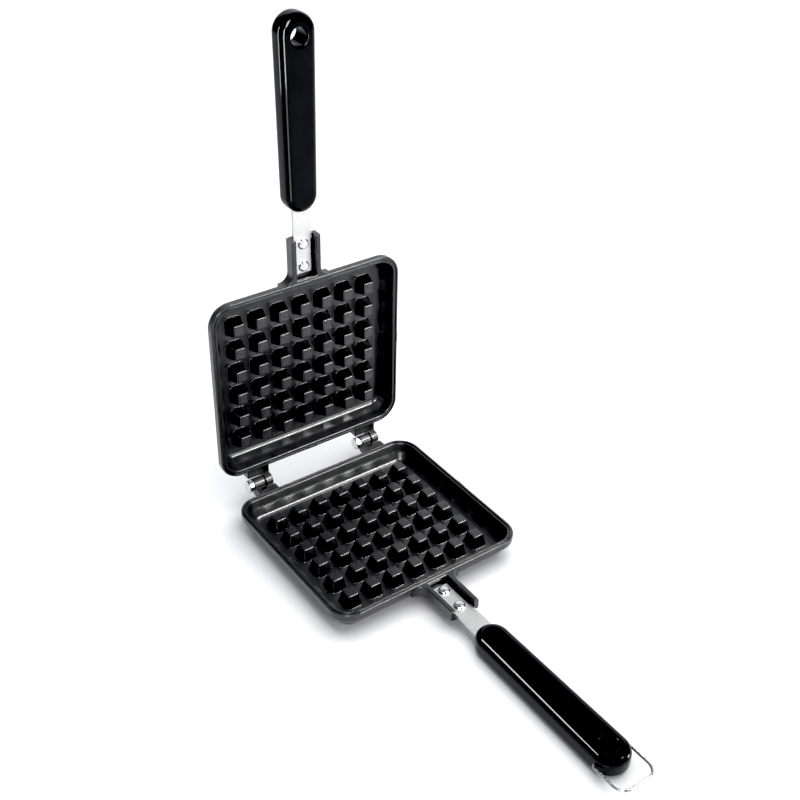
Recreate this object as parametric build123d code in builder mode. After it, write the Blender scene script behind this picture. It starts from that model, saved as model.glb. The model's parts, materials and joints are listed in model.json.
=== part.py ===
from build123d import *
import os
from math import acos, atan, atan2, cos, degrees, hypot, radians, sin

# A stovetop waffle pan: two cast aluminium beds on a two-knuckle hinge, each with a steel strip
# and a moulded grip, and a wire bail on the lower grip that holds the closed grips together.
# The part's frame: origin at the middle of the lower bed's underside, Z up, X along the hinge,
# handles towards -Y. Millimetres.

# Beds
bed_width = 150.5
bed_length = 140.0
bed_depth = 17.5
corner_radius = 16.0
rim_height = 5.0
rim_gap = 0.5
pan_draft = 37.0
base_radius = 4.0
land_width = 4.2
cavity_depth = 13.25
wall_draft = 24.0
cove_radius = 3.5
land_radius = 1.0
casting_root = 6.0

# Tongue on the lower rim, groove in the upper one
tongue_inset = 2.1
tongue_width = 1.0
tongue_height = 1.0
groove_play = 0.35

# Waffle bosses
boss_columns = 7
boss_rows = 6
boss_pitch_x = 17.5
boss_pitch_y = 18.34
boss_foot = 12.8
boss_top = 7.8
boss_height = 9.1
boss_chamfer = 0.55
boss_root = 0.4

# Hinges: each has the lower bed's knuckle on its left and the upper bed's on its right
hinge_setback = 12.0
hinge_from_side = 28.75
open_angle = 90.7
knuckle_radius = 4.7
knuckle_chamfer = 0.5
lower_knuckle_length = 8.6
upper_knuckle_length = 5.9
knuckle_gap = 0.8
knuckle_start = -6.0
lower_lug_start = -5.6
lower_lug_length = 15.6
upper_lug_start = -8.6
upper_lug_length = 17.1
lug_thickness = 7.0
lug_step = 1.0
lug_relief = 0.55
lug_corner_radius = 1.2
arm_foot = 1.5
stop_gap = 0.25
heel_length = 6.4
heel_radius = 1.0

# Hinge pins and their washers
pin_diameter = 4.4
pin_play = 0.05
pin_tail = 0.8
pin_head_diameter = 9.4
pin_head_height = 2.6
pin_head_edge = 0.9
washer_diameter = 8.4
washer_thickness = 1.6

# Sockets, cast on the beds' handle side
socket_length = 31.5
socket_width = 22.4
socket_cheek = 3.4
socket_top = 0.6
socket_floor = 2.2
socket_back = 1.5
socket_flare = 7.0
socket_edge = 1.6
cheek_edge = 0.7
hollow_corner_radius = 2.0

# Handle strips
strip_depth = 5.85
strip_thickness = 1.8
strip_play = 2.5
strip_width = 12.0
strip_shoulder = 14.0
strip_shoulder_at = 28.0
tang_length = 58.0
tang_hole_diameter = 5.0
tang_hole_pitch = 26.0

# Rivets through strip and socket floor
rivet_first = 9.0
rivet_pitch = 16.65
rivet_shank_diameter = 4.5
rivet_head_diameter = 8.0
rivet_head_height = 1.9
rivet_head_edge = 1.5
rivet_tail_diameter = 7.0
rivet_tail_height = 1.4
rivet_tail_edge = 0.6

# Grips
grip_start = 49.0
grip_length = 131.0
grip_near_radius = 11.4
grip_far_radius = 12.4
grip_top = 2.0
grip_bottom = 17.0
grip_seam = 9.5
grip_draft = 2.0
grip_top_edge = 3.5
grip_bottom_edge = 4.4
hang_hole_radius = 6.0
hang_hole_from_end = 14.5
hang_hole_lip = 1.0

# Wire bail
wire_diameter = 1.8
bail_width = 28.4
bail_length = 24.5
bail_corner_radius = 8.0
bail_elbow_radius = 2.0
bail_from_end = 12.0
bail_engagement = 4.0
bail_play = 0.05

# Worked out from the sizes above
bed_centre = hinge_setback + bed_length / 2
bed_end = hinge_setback + bed_length
hinge_y = bed_centre
hinge_z = bed_depth
land_depth = rim_gap / 2
lug_bottom = lug_step + lug_thickness
lug_wall = knuckle_radius + lug_relief
socket_end = bed_end + socket_length
strip_under = strip_depth + strip_thickness
socket_bottom = strip_under + socket_floor
rivet_places = (bed_end + rivet_first, bed_end + rivet_first + rivet_pitch)
grip_near = bed_end + grip_start
strip_start = bed_end + socket_back + strip_play
shoulder_at = bed_end + strip_shoulder_at
strip_end = grip_near + tang_length
tang_hole_places = [grip_near + (tang_length + step) / 2 for step in (-tang_hole_pitch, tang_hole_pitch)]
grip_far = grip_near + grip_length
hang_hole_at = grip_far - hang_hole_from_end
bail_at = grip_far - bail_from_end
pin_radius = pin_diameter / 2
wire_radius = wire_diameter / 2
hinge_from_middle = bed_width / 2 - hinge_from_side
hinge_centres = {"left": -hinge_from_middle, "right": hinge_from_middle}
upper_knuckle_start = knuckle_start + lower_knuckle_length + knuckle_gap

# Each half has its own frame on the hinge axis: X along the hinge, Y out towards the handle,
# Z down into that half's casting. Seen so, the upper half's X runs the other way.
opening = radians(open_angle)
hinge_middle = (0, hinge_y, hinge_z)
lower_half = Plane(origin=hinge_middle, x_dir=(1, 0, 0), z_dir=(0, 0, -1))
upper_half = Plane(origin=hinge_middle, x_dir=(-1, 0, 0), z_dir=(0, sin(opening), cos(opening)))


def across(half, x):
    """A plane square to the hinge axis at x: its X runs to the handle, its Y into the casting."""
    origin = half.from_local_coords(Vector(x, 0, 0))
    return Plane(origin=origin, x_dir=half.y_dir, z_dir=half.x_dir)


def span(half, start, length):
    """Where a piece that covers start to start + length along the hinge begins in its half's X."""
    return start if half is lower_half else -(start + length)


def at_depth(half, edge, depth):
    """Whether an edge lies all along one depth of its half."""
    heights = [half.to_local_coords(edge @ place).Z for place in (0, 0.5)]
    return all(abs(height - depth) < 0.001 for height in heights)


# One waffle boss stands upside down on Z = 0, with a root that is cast into the floor under it.
boss_lean = (boss_foot - boss_top) / 2 / boss_height

with BuildPart() as boss:
    with BuildSketch(Plane.XY.offset(boss_root)):
        root_size = boss_foot + 2 * boss_root * boss_lean
        Rectangle(root_size, root_size)
    extrude(amount=-(boss_height + boss_root), taper=degrees(atan(boss_lean)))
    chamfer(boss.edges().sort_by(Axis.Z)[:-4], boss_chamfer)


def socket(half):
    """The handle socket: a channel between two cheeks, flared where it leaves the rim."""
    root = bed_end - casting_root
    depth = Axis(hinge_middle, half.z_dir)
    with BuildPart() as channel:
        with BuildSketch(half.offset(socket_top)):
            with Locations((0, root)):
                Rectangle(socket_width, socket_end - root, align=(Align.CENTER, Align.MIN))
        extrude(amount=socket_bottom - socket_top)
        along = channel.edges().filter_by(Axis((0, 0, 0), half.y_dir))
        fillet(along.group_by(depth)[-1], socket_edge)
        with BuildSketch(half.offset(socket_top)) as flare:
            with Locations((0, bed_end)):
                flare_width = socket_width + 4 * socket_flare
                Rectangle(flare_width, casting_root, align=(Align.CENTER, Align.MAX))
                Rectangle(socket_width, 3 * socket_flare, align=(Align.CENTER, Align.MIN))
            inner = flare.vertices().sort_by(lambda v: abs(v.X) + abs(v.Y - bed_end))[:2]
            fillet(inner, socket_flare)
        extrude(amount=rim_height - socket_top)
        with BuildSketch(half.offset(socket_top)) as hollow:
            with Locations((0, bed_end + socket_back)):
                inner_width = socket_width - 2 * socket_cheek
                Rectangle(inner_width, socket_length, align=(Align.CENTER, Align.MIN))
            fillet(hollow.vertices().group_by(Axis.Y)[0], hollow_corner_radius)
        extrude(amount=strip_under - socket_top, mode=Mode.SUBTRACT)
        fillet(channel.edges().filter_by(Axis((0, 0, 0), half.y_dir)).group_by(depth)[0], cheek_edge)
        with BuildSketch(half.offset(strip_under)):
            with Locations([(0, place) for place in rivet_places]):
                Circle(rivet_shank_diameter / 2)
        extrude(amount=socket_floor, mode=Mode.SUBTRACT)
    return channel.part


def knuckle(half, start, length):
    """One solid barrel of a hinge, its ends chamfered, on the hinge axis."""
    with BuildPart() as barrel:
        with BuildSketch(across(half, span(half, start, length))):
            Circle(knuckle_radius)
        extrude(amount=length)
        chamfer(barrel.edges().filter_by(GeomType.CIRCLE), knuckle_chamfer)
    return barrel.part


def lug(half, start, length, arm_start, arm_length):
    """A web off the rim that ends in a flat wall, with an arm that runs on to carry the knuckle."""
    root = hinge_setback + casting_root
    foot_angle = atan2(lug_bottom, arm_foot)
    touch = foot_angle + acos(knuckle_radius / hypot(lug_bottom, arm_foot))
    behind = (knuckle_radius * cos(touch), knuckle_radius * sin(touch))
    with BuildPart() as web:
        with BuildSketch(half.offset(lug_step)) as outline:
            with Locations((span(half, start, length), lug_wall)):
                Rectangle(length, root - lug_wall, align=Align.MIN)
            fillet(outline.vertices().group_by(Axis.Y)[0], lug_corner_radius)
        extrude(amount=lug_thickness)
        with BuildSketch(across(half, span(half, arm_start, arm_length))):
            with BuildLine():
                Polyline((root, lug_step), (0, lug_step), behind, (arm_foot, lug_bottom))
                Polyline((arm_foot, lug_bottom), (root, lug_bottom), (root, lug_step))
            make_face()
        extrude(amount=arm_length)
    return web.part


def casting(half, knuckle_at, knuckle_length, lug_at, lug_length):
    """A bed as it is cast: pan, cavity, bosses, handle socket and both hinge lugs."""
    depth = Axis(hinge_middle, half.z_dir)
    with BuildPart() as bed:
        with BuildSketch(half.offset(land_depth)):
            with Locations((0, bed_centre)):
                RectangleRounded(bed_width, bed_length, corner_radius)
        extrude(amount=rim_height - land_depth)
        with BuildSketch(half.offset(rim_height)):
            with Locations((0, bed_centre)):
                RectangleRounded(bed_width, bed_length, corner_radius)
        extrude(amount=bed_depth - rim_height, taper=pan_draft)
        fillet(bed.edges().group_by(depth)[-1], base_radius)
        add(socket(half))
        for centre in hinge_centres.values():
            arm_start = centre + knuckle_at + knuckle_chamfer
            arm_length = knuckle_length - 2 * knuckle_chamfer
            add(lug(half, centre + lug_at, lug_length, arm_start, arm_length))
            add(knuckle(half, centre + knuckle_at, knuckle_length))
        with BuildSketch(half.offset(land_depth)):
            with Locations((0, bed_centre)):
                mouth_width = bed_width - 2 * land_width
                mouth_length = bed_length - 2 * land_width
                RectangleRounded(mouth_width, mouth_length, corner_radius - land_width)
        extrude(amount=cavity_depth - land_depth, taper=wall_draft, mode=Mode.SUBTRACT)
        fillet(bed.edges(Select.LAST).group_by(depth)[0], land_radius)
        floor_edges = bed.edges().filter_by(lambda edge: at_depth(half, edge, cavity_depth))
        fillet(floor_edges, cove_radius)
        with Locations(half.offset(cavity_depth)):
            with Locations((0, bed_centre)):
                with GridLocations(boss_pitch_x, boss_pitch_y, boss_columns, boss_rows):
                    add(boss.part)
    return bed.part


def rim_band(half, start_depth, width, height):
    """A band that follows the rim, inset from its edge: the tongue, or the groove it drops into."""
    outer = tongue_inset - width / 2
    inner = tongue_inset + width / 2
    with BuildPart() as band:
        with BuildSketch(half.offset(start_depth)):
            with Locations((0, bed_centre)):
                RectangleRounded(bed_width - 2 * outer, bed_length - 2 * outer, corner_radius - outer)
                inside = (bed_width - 2 * inner, bed_length - 2 * inner)
                RectangleRounded(*inside, corner_radius - inner, mode=Mode.SUBTRACT)
        extrude(amount=height)
    return band.part


def pin_bore(half, start, length, radius):
    """The pin's hole through one knuckle."""
    with BuildPart() as bore:
        with BuildSketch(across(half, span(half, start, length))):
            Circle(radius)
        extrude(amount=length)
    return bore.part


# Lower bed
with BuildPart() as lower_bed:
    lower_hinge = (knuckle_start, lower_knuckle_length, lower_lug_start, lower_lug_length)
    add(casting(lower_half, *lower_hinge))
    tongue_tip = land_depth - tongue_height
    add(rim_band(lower_half, tongue_tip, tongue_width, rim_height - tongue_tip))
    for centre in hinge_centres.values():
        bore = pin_bore(lower_half, centre + knuckle_start, lower_knuckle_length, pin_radius)
        add(bore, mode=Mode.SUBTRACT)

# Upper bed, with the two heels that stop it just past upright
with BuildPart() as upper_bed:
    upper_hinge = (upper_knuckle_start, upper_knuckle_length, upper_lug_start, upper_lug_length)
    add(casting(upper_half, *upper_hinge))
    groove_width = tongue_width + 2 * groove_play
    groove_depth = tongue_height + groove_play - rim_gap
    add(rim_band(upper_half, land_depth, groove_width, groove_depth), mode=Mode.SUBTRACT)
    for centre in hinge_centres.values():
        heel_start = centre + upper_knuckle_start + knuckle_chamfer
        heel_width = upper_knuckle_length - 2 * knuckle_chamfer
        with BuildSketch(across(lower_half, heel_start)) as heel:
            Rectangle(lug_wall - stop_gap, heel_length, align=Align.MIN)
            fillet(heel.vertices().sort_by(Axis.Y)[-2:], heel_radius)
        extrude(amount=heel_width)
        bore_start = centre + upper_knuckle_start
        bore = pin_bore(upper_half, bore_start, upper_knuckle_length, pin_radius + pin_play)
        add(bore, mode=Mode.SUBTRACT)

lower_bed.part.label = "lower_bed"
upper_bed.part.label = "upper_bed"
os.makedirs("parts", exist_ok=True)
export_step(lower_bed.part, "parts/lower_bed.step")
export_step(upper_bed.part, "parts/upper_bed.step")

# Hinge pins, each driven into the lower bed's knuckle, with a washer under its domed head
for side, centre in hinge_centres.items():
    knuckle_face = centre + knuckle_start
    head_face = knuckle_face - washer_thickness
    tail_end = centre + upper_knuckle_start + upper_knuckle_length + pin_tail
    with BuildPart() as pin:
        with BuildSketch(across(lower_half, head_face)):
            Circle(pin_radius)
        extrude(amount=tail_end - head_face)
        chamfer(pin.edges().group_by(Axis.X)[-1], pin_tail / 2)
        with BuildSketch(across(lower_half, head_face)):
            Circle(pin_head_diameter / 2)
        extrude(amount=-pin_head_height)
        fillet(pin.edges().group_by(Axis.X)[0], pin_head_edge)
    pin.part.label = side + "_hinge_pin"
    export_step(pin.part, "parts/" + side + "_hinge_pin.step")
    with BuildPart() as washer:
        with BuildSketch(across(lower_half, head_face)):
            Circle(washer_diameter / 2)
            Circle(pin_radius, mode=Mode.SUBTRACT)
        extrude(amount=washer_thickness)
    washer.part.label = side + "_hinge_washer"
    export_step(washer.part, "parts/" + side + "_hinge_washer.step")

# Each handle: a strip riveted into the socket, its tang moulded into the grip
for name, half in (("lower", lower_half), ("upper", upper_half)):
    depth = Axis(hinge_middle, half.z_dir)
    with BuildPart() as strip:
        with BuildSketch(half.offset(strip_depth)) as blank:
            with Locations((0, strip_start)):
                Rectangle(strip_width, shoulder_at - strip_start, align=(Align.CENTER, Align.MIN))
            with Locations((0, shoulder_at)):
                Rectangle(strip_shoulder, strip_end - shoulder_at, align=(Align.CENTER, Align.MIN))
            rounded = blank.vertices().group_by(Axis.Y)
            fillet(rounded[0] + rounded[1], (strip_shoulder - strip_width) / 4)
            with Locations([(0, place) for place in rivet_places]):
                Circle(rivet_shank_diameter / 2, mode=Mode.SUBTRACT)
            with Locations([(0, place) for place in tang_hole_places]):
                Circle(tang_hole_diameter / 2, mode=Mode.SUBTRACT)
        extrude(amount=strip_thickness)
    strip.part.label = name + "_handle_strip"
    export_step(strip.part, "parts/" + name + "_handle_strip.step")

    for order, place in zip(("inner", "outer"), rivet_places):
        with BuildPart() as rivet:
            with BuildSketch(half.offset(strip_depth)):
                with Locations((0, place)):
                    Circle(rivet_shank_diameter / 2)
            extrude(amount=strip_thickness + socket_floor)
            with BuildSketch(half.offset(strip_depth)):
                with Locations((0, place)):
                    Circle(rivet_head_diameter / 2)
            extrude(amount=-rivet_head_height)
            fillet(rivet.edges().group_by(depth)[0], rivet_head_edge)
            with BuildSketch(half.offset(socket_bottom)):
                with Locations((0, place)):
                    Circle(rivet_tail_diameter / 2)
            extrude(amount=rivet_tail_height)
            fillet(rivet.edges().group_by(depth)[-1], rivet_tail_edge)
        rivet.part.label = name + "_" + order + "_rivet"
        export_step(rivet.part, "parts/" + name + "_" + order + "_rivet.step")

    with BuildPart() as grip:
        for height in (grip_top - grip_seam, grip_bottom - grip_seam):
            with BuildSketch(half.offset(grip_seam)):
                with Locations((0, grip_near + grip_near_radius)):
                    Circle(grip_near_radius)
                with Locations((0, grip_far - grip_far_radius)):
                    Circle(grip_far_radius)
                make_hull()
            extrude(amount=height, taper=grip_draft)
        outlines = grip.edges().group_by(depth)
        fillet(outlines[0], grip_top_edge)
        fillet(grip.edges().group_by(depth)[-1], grip_bottom_edge)
        add(strip.part, mode=Mode.SUBTRACT)
        with BuildSketch(half.offset(grip_top)):
            with Locations((0, hang_hole_at)):
                Circle(hang_hole_radius)
        extrude(amount=grip_bottom - grip_top, mode=Mode.SUBTRACT)
        lips = grip.edges(Select.LAST).group_by(depth)
        fillet(lips[0] + lips[-1], hang_hole_lip)
        if half is lower_half:
            for side in (-1, 1):
                with BuildSketch(across(half, side * grip_far_radius)):
                    with Locations((bail_at, grip_seam)):
                        Circle(wire_radius + bail_play)
                extrude(amount=-side * bail_engagement, mode=Mode.SUBTRACT)
    grip.part.label = name + "_grip"
    export_step(grip.part, "parts/" + name + "_grip.step")

# Wire bail, a squared loop whose two ends turn in to the lower grip's sides
bail_end = bail_at + bail_length
bail_side = bail_width / 2
bail_tip = grip_far_radius - bail_engagement + bail_play
with BuildPart() as bail:
    with BuildLine(lower_half.offset(grip_seam)) as loop:
        left_leg = [(-bail_tip, bail_at), (-bail_side, bail_at), (-bail_side, bail_end)]
        right_leg = [(-x, y) for x, y in reversed(left_leg)]
        bends = [bail_elbow_radius, bail_corner_radius, bail_corner_radius, bail_elbow_radius]
        FilletPolyline(*left_leg, *right_leg, radius=bends)
    with BuildSketch(Plane(origin=loop.line @ 0, z_dir=loop.line % 0)):
        Circle(wire_radius)
    sweep()
bail.part.label = "wire_bail"
export_step(bail.part, "parts/wire_bail.step")
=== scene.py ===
# %% [markdown]
# A stovetop waffle pan
#
# Two cast aluminium beds meet on a two-knuckle hinge. Each carries a steel strip that is riveted into
# a socket and ends in a glossy moulded grip, and a wire bail on the lower grip holds the pair closed.
# The working model gives every joint and the main sizes. This lesson dresses it: the castings, grips
# and fasteners are modelled again with soft edges in place of the model's plain ones, take their
# finish, and ride on the same bodies. The strips and the bail keep the shape that the model has.

# %% Load the working model
import json
from math import acos, atan2, cos, hypot, pi, radians, sin, tan

import bmesh
import bpy
from mathutils import Matrix, Vector


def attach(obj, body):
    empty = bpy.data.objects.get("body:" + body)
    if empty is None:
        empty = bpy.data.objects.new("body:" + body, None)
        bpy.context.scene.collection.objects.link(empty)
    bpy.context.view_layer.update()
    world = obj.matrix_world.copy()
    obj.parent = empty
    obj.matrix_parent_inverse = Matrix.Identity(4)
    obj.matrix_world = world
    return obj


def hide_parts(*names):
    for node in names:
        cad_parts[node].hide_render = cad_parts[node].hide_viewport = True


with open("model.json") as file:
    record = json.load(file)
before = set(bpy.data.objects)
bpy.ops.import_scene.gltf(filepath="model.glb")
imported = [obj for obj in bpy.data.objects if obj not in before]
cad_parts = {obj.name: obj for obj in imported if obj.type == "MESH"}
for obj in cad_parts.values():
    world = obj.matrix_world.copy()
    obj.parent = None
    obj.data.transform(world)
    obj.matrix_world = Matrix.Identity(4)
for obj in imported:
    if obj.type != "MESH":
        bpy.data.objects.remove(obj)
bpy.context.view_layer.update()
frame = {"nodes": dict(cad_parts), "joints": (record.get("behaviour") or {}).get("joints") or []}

print("nodes:", len(frame["nodes"]))

# %% [markdown]
# The camera
#
# The photograph looks down at the pan from its left front, a little over 30 degrees above the floor.
# Its place, direction and focal length come from solving the view of the two equal beds. The horizon
# isn't quite level, so the camera is rolled by a degree and a half about its own line of sight.

# %% Camera
camera_place = Vector((-0.3811, -0.5376, 0.5797))
camera_azimuth = radians(-36.570)
camera_height = radians(34.874)
camera_roll = radians(1.662)
photo_width = 800
focal_pixels = 1227.8
sensor_width = 36.0

camera = bpy.data.objects.new("camera", bpy.data.cameras.new("camera"))
camera.data.sensor_width = sensor_width
camera.data.lens = focal_pixels / photo_width * sensor_width
camera.data.clip_start = 0.01
camera.location = camera_place
level = Matrix.Rotation(camera_azimuth, 4, "Z") @ Matrix.Rotation(pi / 2 - camera_height, 4, "X")
camera.rotation_euler = (level @ Matrix.Rotation(camera_roll, 4, "Z")).to_euler()
bpy.context.scene.collection.objects.link(camera)
bpy.context.scene.camera = camera
print("lens:", round(camera.data.lens, 2), "mm")

# %% [markdown]
# Floor and light
#
# The pan stands on seamless white paper under one very large soft lamp, so its shadows are close and
# pale. Black glossy things show only what they mirror. Each streak on the grips and in the coves is
# a lamp of its own, placed along the ray that the camera's line of sight makes off that surface, and
# these lamps are left out of the diffuse light, as a narrow strip light far from the paper would be.

# %% Helper for a plain material
def shader(name, **values):
    """A new material and its main shader, with the given plain values on the shader's own sockets."""
    material = bpy.data.materials.new(name)
    material.use_nodes = True
    surface = material.node_tree.nodes["Principled BSDF"]
    for key, value in values.items():
        surface.inputs[key.replace("_", " ")].default_value = value
    return material, surface


# %% Floor
floor_half = 4.0
floor_bm = bmesh.new()
bmesh.ops.create_grid(floor_bm, x_segments=1, y_segments=1, size=floor_half)
floor_mesh = bpy.data.meshes.new("floor")
floor_bm.to_mesh(floor_mesh)
floor_bm.free()
floor = bpy.data.objects.new("floor", floor_mesh)
paper = shader("white_paper", Base_Color=(0.86, 0.86, 0.875, 1), Roughness=0.55)[0]
floor_mesh.materials.append(paper)
bpy.context.scene.collection.objects.link(floor)
print("floor:", 2 * floor_half, "m square")

# %% Sky, and the black point of the picture
world = bpy.data.worlds.new("studio")
bpy.context.scene.world = world
world.use_nodes = True
world.node_tree.nodes["Background"].inputs["Color"].default_value = (0.93, 0.95, 1.0, 1)
world.node_tree.nodes["Background"].inputs["Strength"].default_value = 0.30
look = bpy.context.scene.view_settings
look.view_transform = "Standard"
look.use_curve_mapping = True
look.curve_mapping.black_level = (0.026, 0.026, 0.026)
print("tone:", look.view_transform)


# %% Groups that a lamp can be kept to, as flags and barn doors keep it in a studio
kept_to = {name: bpy.data.collections.new(name) for name in ("metal", "lower_grip", "upper_grip")}


# %% Helper for a lamp
def lamp(name, target, direction, distance, size, radiance, lights="gloss", only=None):
    """A soft rectangular lamp, seen from its target in a direction; it lights matt or glossy things."""
    light = bpy.data.lights.new(name, "AREA")
    light.shape = "RECTANGLE"
    light.size, light.size_y = size
    light.energy = radiance * pi * size[0] * size[1]
    holder = bpy.data.objects.new(name, light)
    away = Vector(direction).normalized()
    holder.location = Vector(target) + away * distance
    holder.rotation_euler = away.to_track_quat("Z", "Y").to_euler()
    holder.visible_camera = False
    holder.visible_diffuse = lights == "matt"
    holder.visible_glossy = lights == "gloss"
    if only:
        holder.light_linking.receiver_collection = kept_to[only]
    bpy.context.scene.collection.objects.link(holder)


# %% Lamps for the whole set
pan_middle = (0, 0, 0.08)
lamp("overhead_tent", pan_middle, (0.30, 0.05, 1), 1.6, (2.1, 2.1), 2.9, lights="matt")
lamp("far_tent", (0.9, 1.5, 0), (0, 0, 1), 1.7, (2.6, 2.6), 0.9, lights="matt")
lamp("front_fill", pan_middle, (-0.2, -0.8, 0.45), 1.5, (1.2, 1.2), 2.1, lights="matt")
lamp("backdrop", pan_middle, (0.489, 0.659, 0.38), 1.8, (3.0, 1.3), 0.8)

# %% Lamps that draw the streaks in the metal
lamp("cove_strip", pan_middle, (0.489, -0.572, 0.659), 1.3, (0.7, 0.20), 60, only="metal")
lamp("upper_wall_strip", pan_middle, (0.489, 0.03, 0.873), 1.3, (0.5, 0.12), 22, only="metal")
lamp("lower_wall_strip", pan_middle, (0.489, -0.869, 0.10), 1.1, (0.5, 0.12), 22, only="metal")
lamp("window", pan_middle, (-0.489, -0.659, 0.572), 1.5, (0.35, 0.35), 60, only="metal")

# %% Lamps that draw the streaks on the grips
low_middle, low_end = (0, -0.17, 0.01), (0, -0.25, 0.01)
high_end, high_middle = (-0.01, 0.088, 0.32), (-0.01, 0.088, 0.25)
lamp("lower_edge", low_middle, (-0.39, 0.48, 0.78), 1.6, (0.55, 0.32), 42, only="lower_grip")
lamp("lower_end", low_end, (0.853, -0.495, 0.13), 0.6, (0.12, 0.12), 36, only="lower_grip")
lamp("lower_lip", low_end, (0.49, -0.40, 0.78), 1.0, (0.22, 0.14), 16, only="lower_grip")
lamp("upper_edge", high_end, (-0.56, -0.74, -0.05), 0.5, (0.13, 0.34), 36, only="upper_grip")
lamp("upper_edge_low", high_middle, (-0.58, -0.70, -0.37), 0.5, (0.13, 0.12), 8, only="upper_grip")
lamp("upper_arc", high_end, (-0.30, -0.75, 0.55), 0.5, (0.16, 0.30), 36, only="upper_grip")
lamp("upper_side", high_end, (-0.72, 0.58, -0.02), 0.5, (0.12, 0.40), 16, only="upper_grip")

# %% [markdown]
# Finishes
#
# Six finishes cover the pan. The castings have a sprayed non-stick coat, satin and nearly black, over
# a surface that still shows the grain of the mould, and a paler copy of that coat is painted light on
# the upper bed's boss tops. The grips are glossy phenolic, the strips are tumbled satin steel, and the
# fasteners and the bail are polished. Every pattern is noise on Object coordinates, in metres, so it
# stays on its piece and has a true scale.

# %% Helpers for patterns
def noise(material, scale, detail=3.0):
    """Noise on Object coordinates; scale is in cells a metre."""
    nodes, links = material.node_tree.nodes, material.node_tree.links
    texture = nodes.new("ShaderNodeTexNoise")
    texture.inputs["Scale"].default_value = scale
    texture.inputs["Detail"].default_value = detail
    links.new(nodes.new("ShaderNodeTexCoord").outputs["Object"], texture.inputs["Vector"])
    return texture.outputs["Fac"]


def spread(material, signal, low, high, socket):
    """Drives a plain-number socket from a pattern, between two values."""
    ranged = material.node_tree.nodes.new("ShaderNodeMapRange")
    ranged.inputs["From Min"].default_value = 0.3
    ranged.inputs["From Max"].default_value = 0.7
    ranged.inputs["To Min"].default_value = low
    ranged.inputs["To Max"].default_value = high
    material.node_tree.links.new(signal, ranged.inputs["Value"])
    material.node_tree.links.new(ranged.outputs["Result"], socket)


def tint(material, signal, dark, light, socket):
    """Drives a colour socket from a pattern, between two colours."""
    ramp = material.node_tree.nodes.new("ShaderNodeValToRGB")
    ramp.color_ramp.elements[0].position = 0.3
    ramp.color_ramp.elements[1].position = 0.7
    ramp.color_ramp.elements[0].color = (*dark, 1)
    ramp.color_ramp.elements[1].color = (*light, 1)
    material.node_tree.links.new(signal, ramp.inputs["Fac"])
    material.node_tree.links.new(ramp.outputs["Color"], socket)


def relief(material, surface, signals, distance):
    """Bumps from several (pattern, strength) pairs, chained."""
    normal = None
    for signal, strength in signals:
        bump = material.node_tree.nodes.new("ShaderNodeBump")
        bump.inputs["Strength"].default_value = strength
        bump.inputs["Distance"].default_value = distance
        material.node_tree.links.new(signal, bump.inputs["Height"])
        if normal:
            material.node_tree.links.new(normal, bump.inputs["Normal"])
        normal = bump.outputs["Normal"]
    material.node_tree.links.new(normal, surface.inputs["Normal"])


# %% Non-stick casting, and a paler copy of it that paints light onto the upper bed's boss tops
casting, casting_surface = shader("nonstick_casting", Coat_Weight=0.35, Coat_Roughness=0.19)
mottle = noise(casting, 140, 4)
grain = noise(casting, 1150, 2)
tint(casting, grain, (0.015, 0.015, 0.0155), (0.032, 0.032, 0.033), casting_surface.inputs["Base Color"])
spread(casting, mottle, 0.26, 0.36, casting_surface.inputs["Roughness"])
relief(casting, casting_surface, [(grain, 0.26), (mottle, 0.06)], 0.0002)

# Painted light: a paler copy of the coat, put on the upper bed's boss tops so that they look more lit than
# the lamps make them. Its noise is only the coat's grain.
rubbed, painted_lit_tops_surface = shader("rubbed_casting", Coat_Weight=0.2, Coat_Roughness=0.2)
lit_tops_grain = noise(rubbed, 1150, 2)
tint(rubbed, lit_tops_grain, (0.036, 0.036, 0.037), (0.070, 0.070, 0.072), painted_lit_tops_surface.inputs["Base Color"])
spread(rubbed, lit_tops_grain, 0.36, 0.46, painted_lit_tops_surface.inputs["Roughness"])
relief(rubbed, painted_lit_tops_surface, [(lit_tops_grain, 0.30)], 0.0002)

# %% Glossy grip plastic
phenolic, phenolic_surface = shader("gloss_phenolic", Specular_IOR_Level=0.19)
flow = noise(phenolic, 45, 2)
tint(phenolic, flow, (0.008, 0.008, 0.009), (0.011, 0.011, 0.012), phenolic_surface.inputs["Base Color"])
spread(phenolic, noise(phenolic, 700, 3), 0.05, 0.09, phenolic_surface.inputs["Roughness"])
relief(phenolic, phenolic_surface, [(flow, 0.06)], 0.0004)

# %% Satin strip steel
strip_steel, strip_surface = shader("satin_steel", Metallic=1.0)
tumbling = noise(strip_steel, 1300, 4)
tint(strip_steel, tumbling, (0.52, 0.52, 0.52), (0.68, 0.68, 0.67), strip_surface.inputs["Base Color"])
spread(strip_steel, tumbling, 0.34, 0.50, strip_surface.inputs["Roughness"])
relief(strip_steel, strip_surface, [(tumbling, 0.18)], 0.0001)

# %% Polished fasteners and wire
polished, polished_surface = shader("polished_steel", Metallic=1.0)
handling = noise(polished, 900, 4)
tint(polished, handling, (0.66, 0.66, 0.67), (0.82, 0.82, 0.82), polished_surface.inputs["Base Color"])
spread(polished, handling, 0.10, 0.20, polished_surface.inputs["Roughness"])
relief(polished, polished_surface, [(handling, 0.06)], 0.0001)

wire_steel, wire_surface = shader("plated_wire", Metallic=1.0)
drawing = noise(wire_steel, 600, 3)
tint(wire_steel, drawing, (0.42, 0.42, 0.43), (0.56, 0.56, 0.57), wire_surface.inputs["Base Color"])
spread(wire_steel, drawing, 0.16, 0.28, wire_surface.inputs["Roughness"])
relief(wire_steel, wire_surface, [(drawing, 0.05)], 0.0001)
print("finishes:", len(bpy.data.materials) - 1)

# %% [markdown]
# Two halves, one bench
#
# Each half is drawn in millimetres on a bench of its own: X runs along the hinge, Y out towards the
# handle, and Z down into the casting, with the hinge axis through zero. The lower half lies on its
# back and the upper half stands open, so one matrix each puts what is drawn in place. The hinge's
# place and how far it is open come from the working model's own joint.

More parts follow.
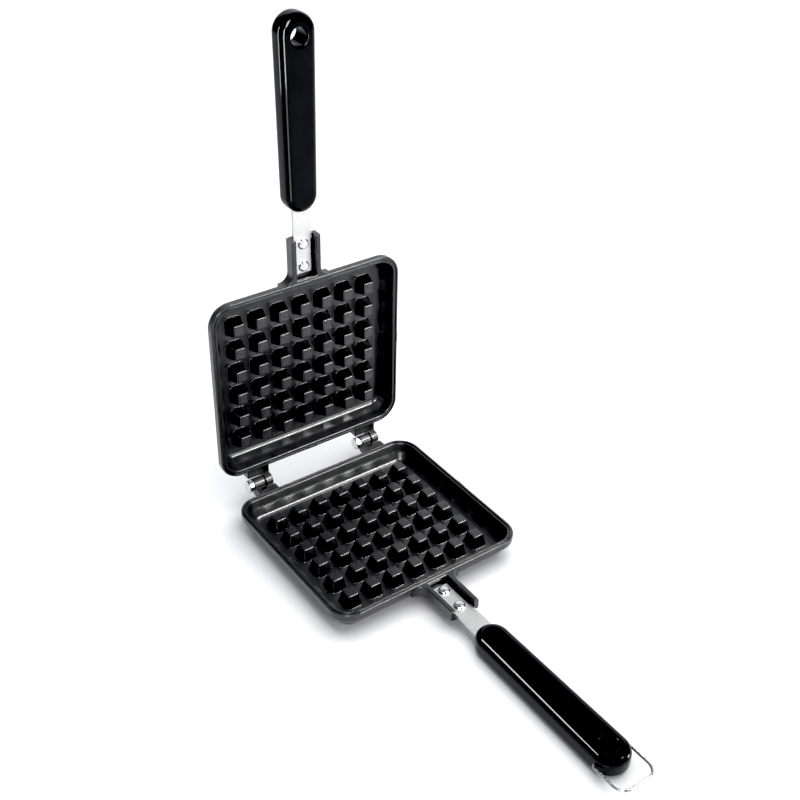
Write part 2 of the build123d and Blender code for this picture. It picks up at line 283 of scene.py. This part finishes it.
# %% Benches for the two halves
hinge = next(joint for joint in frame["joints"] if joint["name"] == "main_hinge")
hinge_place = Matrix.Translation(Vector(hinge["pos_m"]))
opening = radians(hinge["range_deg"][1])
to_metres = Matrix.Scale(0.001, 4)
benches = {
    "lower": hinge_place @ Matrix.Rotation(pi, 4, "X") @ to_metres,
    "upper": hinge_place @ Matrix.Rotation(-opening, 4, "X") @ Matrix.Rotation(pi, 4, "Z") @ to_metres,
}
print("open by", hinge["range_deg"][1], "degrees")


# %% Helper that finishes a piece
weld_distance = 0.002
sharp_degrees = 35


def piece(bm, name, bench, finish, slot, body, node):
    """Turns a bench model into a piece in its place, riding on its body in place of its node."""
    bmesh.ops.remove_doubles(bm, verts=bm.verts, dist=weld_distance)
    bmesh.ops.recalc_face_normals(bm, faces=bm.faces)
    bmesh.ops.transform(bm, matrix=bench, verts=bm.verts)
    mesh = bpy.data.meshes.new(name)
    bm.to_mesh(mesh)
    bm.free()
    mesh.shade_smooth()
    mesh.set_sharp_from_angle(angle=radians(sharp_degrees))
    mesh.materials.append(finish)
    made = bpy.data.objects.new(name, mesh)
    bpy.context.scene.collection.objects.link(made)
    kept_to[body.replace("half", "grip") if slot == "grip" else "metal"].objects.link(made)
    shading = made.modifiers.new("even_shading", "WEIGHTED_NORMAL")
    shading.keep_sharp = True
    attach(made, body)
    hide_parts(node)
    print(name, len(mesh.polygons), "faces")
    return made


# %% Helpers that walk a profile round an outline
def rounded(corners, steps=5):
    """A path through (inward, deep, radius) corners, with an arc at each corner that has a radius."""
    path = []
    for index, (inward, deep, radius) in enumerate(corners):
        here = Vector((inward, deep))
        if radius == 0:
            path.append(here)
            continue
        back = (Vector(corners[index - 1][:2]) - here).normalized()
        ahead = (Vector(corners[index + 1][:2]) - here).normalized()
        half_angle = back.angle(ahead) / 2
        centre = here + (back + ahead).normalized() * radius / sin(half_angle)
        first = here + back * radius / tan(half_angle) - centre
        last = here + ahead * radius / tan(half_angle) - centre
        path += [centre + first.slerp(last, step / steps) * radius for step in range(steps + 1)]
    return path


least_inset = 0.0001


def walk(bm, faces, path):
    """Takes flat faces along a path of (inward, deep) points, with a ring of faces at each step."""
    for before, after in zip(path, path[1:]):
        bmesh.ops.inset_individual(bm, faces=faces, thickness=max(after.x - before.x, least_inset))
        verts = list({vert for face in faces for vert in face.verts})
        bmesh.ops.translate(bm, vec=(0, 0, after.y - before.y), verts=verts)


def rounded_rectangles(bm, width, length, centres, radius, segments=12):
    """One flat face with round corners at each centre, square to Z."""
    corners = []
    for centre in centres:
        four = bmesh.ops.create_grid(bm, x_segments=1, y_segments=1, size=0.5)["verts"]
        bmesh.ops.scale(bm, vec=(width, length, 1), verts=four)
        bmesh.ops.translate(bm, vec=centre, verts=four)
        corners += four
    bevelled = bmesh.ops.bevel(bm, geom=corners, affect="VERTICES", offset=radius, segments=segments,
                               profile=0.5, material=-1)
    return list({vert.link_faces[0] for vert in bevelled["verts"]})


def open_loop(bm, depth):
    """The open edges that lie at one depth."""
    ends = [edge for edge in bm.edges if edge.is_boundary]
    return [edge for edge in ends if all(abs(vert.co.z - depth) < 0.01 for vert in edge.verts)]


# %% [markdown]
# The beds
#
# A bed starts as one flat face with the rim's round outline. Insets walk that face down the outside
# of the pan and, from a second copy, over the rim and down into the cavity, so the whole shell is one
# skin with even rings round its corners. Each boss is walked up from a small rounded face of its own.
# Then the flat floor is cut out, and one fill joins the pan to all the bosses' feet. The lower rim has
# a tongue, and the upper rim the groove that it drops into. Sockets, lugs and knuckles are blocks with
# rounded edges that run a little way into the pan, so that no two faces lie in one plane.

# %% Sizes of the beds, in millimetres
bed_width, bed_length, bed_depth = 150.5, 140.0, 17.5
hinge_setback = 12.0
bed_middle = hinge_setback + bed_length / 2
bed_end = hinge_setback + bed_length
corner_radius = 16.0
rim_height, rim_edge, land_depth, land_width = 5.0, 0.7, 0.25, 4.2
cavity_depth, wall_waist = 13.25, 6.5
wall_leans = (tan(radians(17)), tan(radians(30)))
pan_lean = tan(radians(37))
rim_fillet, base_fillet, base_margin = 0.8, 4, 3
land_fillet, waist_radius, cove_radius, floor_margin = 0.9, 12, 4.4, 3.0
lip_middle, tongue_width, groove_width = 2.1, 0.9, 1.6
lip_draft, lip_fillet = 0.05, 0.25
print("bed:", bed_width, "by", bed_length, "by", bed_depth, "mm")


# %% One bed's pan
def pan_shell(bm, lip_rise):
    """The pan's skin, with a lip on its land that rises, or a groove that sinks, all the way round."""
    start = land_depth + rim_edge
    outline = (bed_width, bed_length, [(0, bed_middle, start)], corner_radius)
    base_inset = (bed_depth - rim_height) * pan_lean
    outside = [(0, start, 0), (0, rim_height, rim_fillet), (base_inset, bed_depth, base_fillet)]
    outside += [(base_inset + base_margin, bed_depth, 0)]
    walk(bm, rounded_rectangles(bm, *outline), rounded(outside))
    waist_inset = land_width + (wall_waist - land_depth) * wall_leans[0]
    wall_foot = waist_inset + (cavity_depth - wall_waist) * wall_leans[1]
    lip_width = tongue_width if lip_rise > 0 else groove_width
    lip_start, lip_end = lip_middle - lip_width / 2, lip_middle + lip_width / 2
    lip_depth = land_depth - lip_rise
    inside = [(0, start, 0), (0, land_depth, rim_edge * 0.95), (lip_start, land_depth, 0)]
    inside += [(lip_start + lip_draft, lip_depth, lip_fillet), (lip_end - lip_draft, lip_depth, lip_fillet)]
    inside += [(lip_end, land_depth, 0), (land_width, land_depth, land_fillet)]
    inside += [(waist_inset, wall_waist, waist_radius), (wall_foot, cavity_depth, cove_radius)]
    inside += [(wall_foot + floor_margin, cavity_depth, 0)]
    floor_faces = rounded_rectangles(bm, *outline)
    walk(bm, floor_faces, rounded(inside, 7))
    bmesh.ops.delete(bm, geom=floor_faces, context="FACES_ONLY")


# %% The waffle floor
boss_columns, boss_rows = 7, 6
boss_pitch = Vector((17.5, 18.34, 0))
boss_foot, boss_taper, boss_height = 13.8, 2.5, 9.1
foot_corner, foot_margin, foot_fillet = 3.9, 0.5, 0.55
top_margin, top_fillet = 1.2, 0.95
print("bosses on each bed:", boss_columns * boss_rows)


def waffle_floor(bm):
    """Raises a boss in each cell, then fills the floor between the pan and all the bosses' feet."""
    boss_top = cavity_depth - boss_height
    top_inset = foot_margin + boss_taper
    rise = [(0, cavity_depth, 0), (foot_margin, cavity_depth, foot_fillet), (top_inset, boss_top, top_fillet)]
    rise += [(top_inset + top_margin, boss_top, 0)]
    length = boss_foot + boss_pitch.y - boss_pitch.x
    columns = [(column - (boss_columns - 1) / 2) * boss_pitch.x for column in range(boss_columns)]
    rows = [bed_middle + (row - (boss_rows - 1) / 2) * boss_pitch.y for row in range(boss_rows)]
    centres = [(x, y, cavity_depth) for x in columns for y in rows]
    tops = rounded_rectangles(bm, boss_foot, length, centres, foot_corner, 5)
    walk(bm, tops, rounded(rise, 4))
    # The tops take the bed's second material; on the upper bed that is the paler coat painted as light.
    for top in tops:
        top.material_index = 1
    bmesh.ops.triangle_fill(bm, edges=open_loop(bm, cavity_depth), use_beauty=True, normal=(0, 0, -1))


# %% Blocks that are cast on the pan
def soft_block(bm, low, high, edge, segments=3):
    """A box between two corners with all its edges rounded; the pan's hinge parts are made of these."""
    block = bmesh.ops.create_cube(bm, size=1)["verts"]
    low, high = Vector(low), Vector(high)
    bmesh.ops.scale(bm, vec=high - low, verts=block)
    bmesh.ops.translate(bm, vec=(low + high) / 2, verts=block)
    edges = list({e for vert in block for e in vert.link_edges})
    bmesh.ops.bevel(bm, geom=edges, affect="EDGES", offset=edge, segments=segments, profile=0.5, material=-1)


def drum(bm, start, length, radius, edge, segments=40):
    """A round barrel along the hinge's axis with rounded ends, such as a hinge knuckle."""
    lying = Matrix.Translation((start + length / 2, 0, 0)) @ Matrix.Rotation(pi / 2, 4, "Y")
    barrel = bmesh.ops.create_cone(bm, cap_ends=True, segments=segments, radius1=radius, radius2=radius,
                                   depth=length, matrix=lying)["verts"]
    caps = {face for vert in barrel for face in vert.link_faces if len(face.verts) > 4}
    rims = list({e for cap in caps for e in cap.edges})
    bmesh.ops.bevel(bm, geom=rims, affect="EDGES", offset=edge, segments=3, profile=0.5, material=-1)


# %% The handle socket
socket_width, socket_length, socket_cheek, socket_back = 22.4, 31.5, 3.4, 1.5
socket_top, strip_under, socket_bottom = 1.0, 7.65, 9.85
casting_root = 3.9
socket_flare, flare_end = 7.0, 1
cheek_edge, socket_edge, back_edge, strip_bed_edge = 0.8, 1.6, 0.8, 0.4


def slab(bm, outline, flare, top, bottom, upper_edge, lower_edge):
    """A closed block from a flat outline, with one corner swept round and both its edges rounded."""
    for end, edge in ((top, upper_edge), (bottom, lower_edge)):
        start = top + upper_edge
        verts = [bm.verts.new((x, y, start)) for x, y in outline]
        bm.faces.new(verts)
        swept = bmesh.ops.bevel(bm, geom=[verts[flare]], affect="VERTICES", offset=socket_flare, segments=10,
                                profile=0.5, material=-1)
        face = swept["verts"][0].link_faces[0]
        walk(bm, [face], rounded([(0, start, 0), (0, end, edge * 0.98), (edge, end, 0)]))


def handle_socket(bm):
    """Two cheeks, each flared where it leaves the rim, a floor between them and a low back wall."""
    half, root = socket_width / 2, bed_end - casting_root
    inner, tip = half - socket_cheek, bed_end + socket_length
    wide = half + socket_flare + flare_end
    for side in (-1, 1):
        outline = [(inner, root), (wide, root), (wide, bed_end), (half, bed_end), (half, tip), (inner, tip)]
        outline = [(side * x, y) for x, y in outline]
        slab(bm, outline, 3, socket_top, socket_bottom, cheek_edge, socket_edge)
    floor_half = half - socket_edge - 0.2
    low, high = (-floor_half, root + 0.5, strip_under), (floor_half, tip - 0.1, socket_bottom - 0.01)
    soft_block(bm, low, high, strip_bed_edge)
    low = (-inner - 1, root, socket_top + 0.02)
    high = (inner + 1, bed_end + socket_back, socket_bottom - 0.3)
    soft_block(bm, low, high, back_edge)


# %% The hinge knuckles and their lugs
hinge_spread, knuckle_radius, knuckle_chamfer = 93.0, 4.7, 0.5
knuckles = {"lower": (-6.0, 8.6), "upper": (3.4, 5.9)}
lugs = {"lower": (-5.6, 15.6), "upper": (-8.6, 17.1)}
lug_top, lug_bottom, lug_wall, lug_edge = 1.0, 8.0, 5.25, 0.8
arm_foot = 1.5
print("hinges:", hinge_spread, "mm apart")


def hinge_side(bm, half, centre):
    """One knuckle, the lug beside it, and an arm that leaves the lug and touches the knuckle's round."""
    side = 1 if half == "lower" else -1
    knuckle_start, knuckle_length = knuckles[half]
    lug_start, lug_length = lugs[half]
    middle = side * (centre + lug_start + lug_length / 2)
    low = (middle - lug_length / 2, lug_wall, lug_top)
    root = hinge_setback + casting_root
    high = (middle + lug_length / 2, root, lug_bottom)
    soft_block(bm, low, high, lug_edge)
    middle = side * (centre + knuckle_start + knuckle_length / 2)
    drum(bm, middle - knuckle_length / 2, knuckle_length, knuckle_radius, knuckle_chamfer)
    foot_angle = atan2(lug_bottom, arm_foot)
    touch = foot_angle + acos(knuckle_radius / hypot(lug_bottom, arm_foot))
    behind = (knuckle_radius * cos(touch), knuckle_radius * sin(touch))
    profile = [(root, lug_top), (0, lug_top), behind, (arm_foot, lug_bottom), (root, lug_bottom)]
    arm_half = knuckle_length / 2 - knuckle_chamfer
    verts = [bm.verts.new((middle - arm_half, y, z)) for y, z in profile]
    arm = bm.faces.new(verts)
    # A copy of the face stays behind as the arm's near side when the face is pulled away.
    bmesh.ops.duplicate(bm, geom=[arm])
    far = bmesh.ops.extrude_face_region(bm, geom=[arm])["geom"]
    far_verts = [item for item in far if isinstance(item, bmesh.types.BMVert)]
    bmesh.ops.translate(bm, vec=(2 * arm_half, 0, 0), verts=far_verts)


# %% Nibs where the metal was poured
nib_length, nib_proud, nib_top, nib_bottom, nib_edge, nib_root = 8.5, 0.8, 0.9, 4.4, 0.6, 1


def gate_nibs(bm, side):
    """The trimmed stubs left on the rim: one at the middle of the right side, one between the hinges."""
    edge = side * bed_width / 2
    low, high = sorted((edge - side * nib_root, edge + side * nib_proud))
    near = bed_middle - nib_length / 2
    soft_block(bm, (low, near, nib_top), (high, near + nib_length, nib_bottom), nib_edge)
    near, far = hinge_setback - nib_proud, hinge_setback + nib_root
    soft_block(bm, (-nib_length / 2, near, nib_top), (nib_length / 2, far, nib_bottom), nib_edge)


# %% Cast both beds
# The upper bed's boss tops get the paler coat as painted light; the lower bed's tops keep the plain casting.
for half, lip_rise, top_finish in (("lower", 1.0, casting), ("upper", -0.85, rubbed)):
    bed = bmesh.new()
    pan_shell(bed, lip_rise)
    waffle_floor(bed)
    handle_socket(bed)
    gate_nibs(bed, 1 if half == "lower" else -1)
    for centre in (-hinge_spread / 2, hinge_spread / 2):
        hinge_side(bed, half, centre)
    cast = piece(bed, half + "_casting", benches[half], casting, "casting", half + "_half", half + "_bed")
    cast.data.materials.append(top_finish)

# %% [markdown]
# The grips
#
# A grip is moulded as two shells that meet half way down its side, so each half has a little draft,
# and its edges are rolled over with a large radius. A circle is pulled apart into a long outline, a
# little wider at its far end, and the outline is walked up to the top and down to the bottom. A
# lipped hole is turned on its own axis, and each flat face is filled between its edge and the lip.

# %% Sizes of the grips, in millimetres
grip_near, grip_far = bed_end + 49.0, bed_end + 180.0
grip_near_radius, grip_far_radius = 11.7, 12.9
grip_top, grip_seam, grip_bottom = 2.0, 9.5, 17.0
grip_edge, grip_lean = 4.8, 0.26
hang_hole_radius, hang_hole_lip, hang_hole_from_end = 6.0, 1.2, 14.5
lip_round = hang_hole_lip * 0.9
print("grip:", grip_far - grip_near, "mm long")


# %% Helper that turns a profile
def turned(bm, profile, centre, axis="Z", steps=48):
    """Spins a profile of (radius, along) points round an axis through a centre."""
    middle = Vector(centre)
    along = {"X": Vector((1, 0, 0)), "Z": Vector((0, 0, 1))}[axis]
    outward = {"X": Vector((0, 1, 0)), "Z": Vector((1, 0, 0))}[axis]
    verts = [bm.verts.new(middle + outward * radius + along * height) for radius, height in profile]
    edges = [bm.edges.new(pair) for pair in zip(verts, verts[1:])]
    bmesh.ops.spin(bm, geom=verts + edges, cent=middle, axis=along, dvec=(0, 0, 0), angle=2 * pi,
                   steps=steps, use_merge=True)


# %% One grip
def grip_outline(bm, depth, segments=64):
    """A circle's two halves, each scaled and moved to its own end of the grip, as one flat face."""
    half_step = Matrix.Rotation(pi / segments, 4, "Z")
    ring = bmesh.ops.create_circle(bm, cap_ends=True, segments=segments, radius=1, matrix=half_step)["verts"]
    face = ring[0].link_faces[0]
    near_half = [vert for vert in ring if vert.co.y < 0]
    far_half = [vert for vert in ring if vert.co.y > 0]
    for verts, radius, place in ((near_half, grip_near_radius, grip_near + grip_near_radius),
                                 (far_half, grip_far_radius, grip_far - grip_far_radius)):
        bmesh.ops.scale(bm, vec=(radius, radius, 1), verts=verts)
        bmesh.ops.translate(bm, vec=(0, place, depth), verts=verts)
    return face


def grip_shell(bm):
    """Both moulded halves, joined at the seam, with the hang hole through them."""
    for end in (grip_top, grip_bottom):
        face = grip_outline(bm, grip_seam)
        corners = [(0, grip_seam, 0), (grip_lean, end, grip_edge), (grip_lean + grip_edge + 0.1, end, 0)]
        walk(bm, [face], rounded(corners, 10))
        bmesh.ops.delete(bm, geom=[face], context="FACES_ONLY")
    bmesh.ops.remove_doubles(bm, verts=bm.verts, dist=weld_distance)
    lip = hang_hole_radius + hang_hole_lip
    corners = [(lip, grip_top, 0), (hang_hole_radius, grip_top, lip_round)]
    corners += [(hang_hole_radius, grip_bottom, lip_round), (lip, grip_bottom, 0)]
    turned(bm, rounded(corners, 6), (0, grip_far - hang_hole_from_end, 0), steps=64)
    for end, facing in ((grip_top, -1), (grip_bottom, 1)):
        bmesh.ops.triangle_fill(bm, edges=open_loop(bm, end), use_beauty=True, normal=(0, 0, facing))


for half in ("lower", "upper"):
    grip = bmesh.new()
    grip_shell(grip)
    piece(grip, half + "_moulded_grip", benches[half], phenolic, "grip", half + "_half", half + "_grip")

# %% [markdown]
# Rivets, pins and washers
#
# These are all turned parts, so each is one profile spun round its axis. A rivet has a low dome
# above the strip and a flatter closed head under the socket. A hinge pin has a domed head and a
# thin washer on the left, and a plain chamfered tail on the right.

# %% Rivets
strip_top = 5.85
shank, head, dome, head_round = 2.25, 4.0, 1.9, 1.7
tail_head, tail_dome, tail_round = 3.5, 1.4, 0.9
rivet_places = {"inner": bed_end + 9.0, "outer": bed_end + 25.65}
for half in ("lower", "upper"):
    for order, place in rivet_places.items():
        rivet = bmesh.new()
        corners = [(0, strip_top - dome, 0), (head, strip_top - dome, head_round), (head, strip_top, 0)]
        corners += [(shank, strip_top, 0), (shank, socket_bottom, 0), (tail_head, socket_bottom, 0)]
        corners += [(tail_head, socket_bottom + tail_dome, tail_round), (0, socket_bottom + tail_dome, 0)]
        turned(rivet, rounded(corners, 6), (0, place, 0))
        node = half + "_" + order + "_rivet"
        piece(rivet, node + "_turned", benches[half], polished, "fastener", half + "_half", node)

# %% Hinge pins and washers
pin_radius, pin_head, pin_dome, pin_round, pin_tail, pin_tail_round = 2.2, 4.7, 2.6, 0.9, 10.1, 0.4
washer_radius, washer_thickness, washer_play, washer_round = 4.2, 1.6, 0.05, 0.25
hinge_piece = (benches["lower"], polished, "fastener", "lower_half")
for side, centre in (("left", -hinge_spread / 2), ("right", hinge_spread / 2)):
    seat = centre + knuckles["lower"][0] - washer_thickness
    tail = centre + pin_tail
    pin = bmesh.new()
    corners = [(0, seat - pin_dome, 0), (pin_head, seat - pin_dome, pin_round), (pin_head, seat, 0)]
    corners += [(pin_radius, seat, 0), (pin_radius, tail, pin_tail_round), (0, tail, 0)]
    turned(pin, rounded(corners, 6), (0, 0, 0), axis="X")
    piece(pin, side + "_turned_pin", *hinge_piece, side + "_hinge_pin")
    near, far = seat + washer_play, seat + washer_thickness - washer_play
    washer = bmesh.new()
    corners = [(pin_radius, near, 0), (washer_radius, near, washer_round), (washer_radius, far, washer_round)]
    corners += [(pin_radius, far, 0), (pin_radius, near, 0)]
    turned(washer, rounded(corners, 3), (0, 0, 0), axis="X")
    piece(washer, side + "_turned_washer", *hinge_piece, side + "_hinge_washer")

# %% [markdown]
# The strips and the bail
#
# A flat strip with punched ends and a bent wire have no form that the working model lacks, so these
# three keep the model's own shape and only take a finish. The nodes that were replaced are hidden, but
# they get the finish of their piece too, so that no bare node is left if one is shown again.

# %% Give the model's own pieces their finishes
for node_name, node in frame["nodes"].items():
    if "bed" in node_name:
        finish = casting
    elif "grip" in node_name:
        finish = phenolic
    elif "strip" in node_name:
        finish = strip_steel
    elif "bail" in node_name:
        finish = wire_steel
    else:
        finish = polished
    node.data.materials.clear()
    node.data.materials.append(finish)
    kept_to["metal"].objects.link(node)
print("finished nodes:", len(frame["nodes"]))
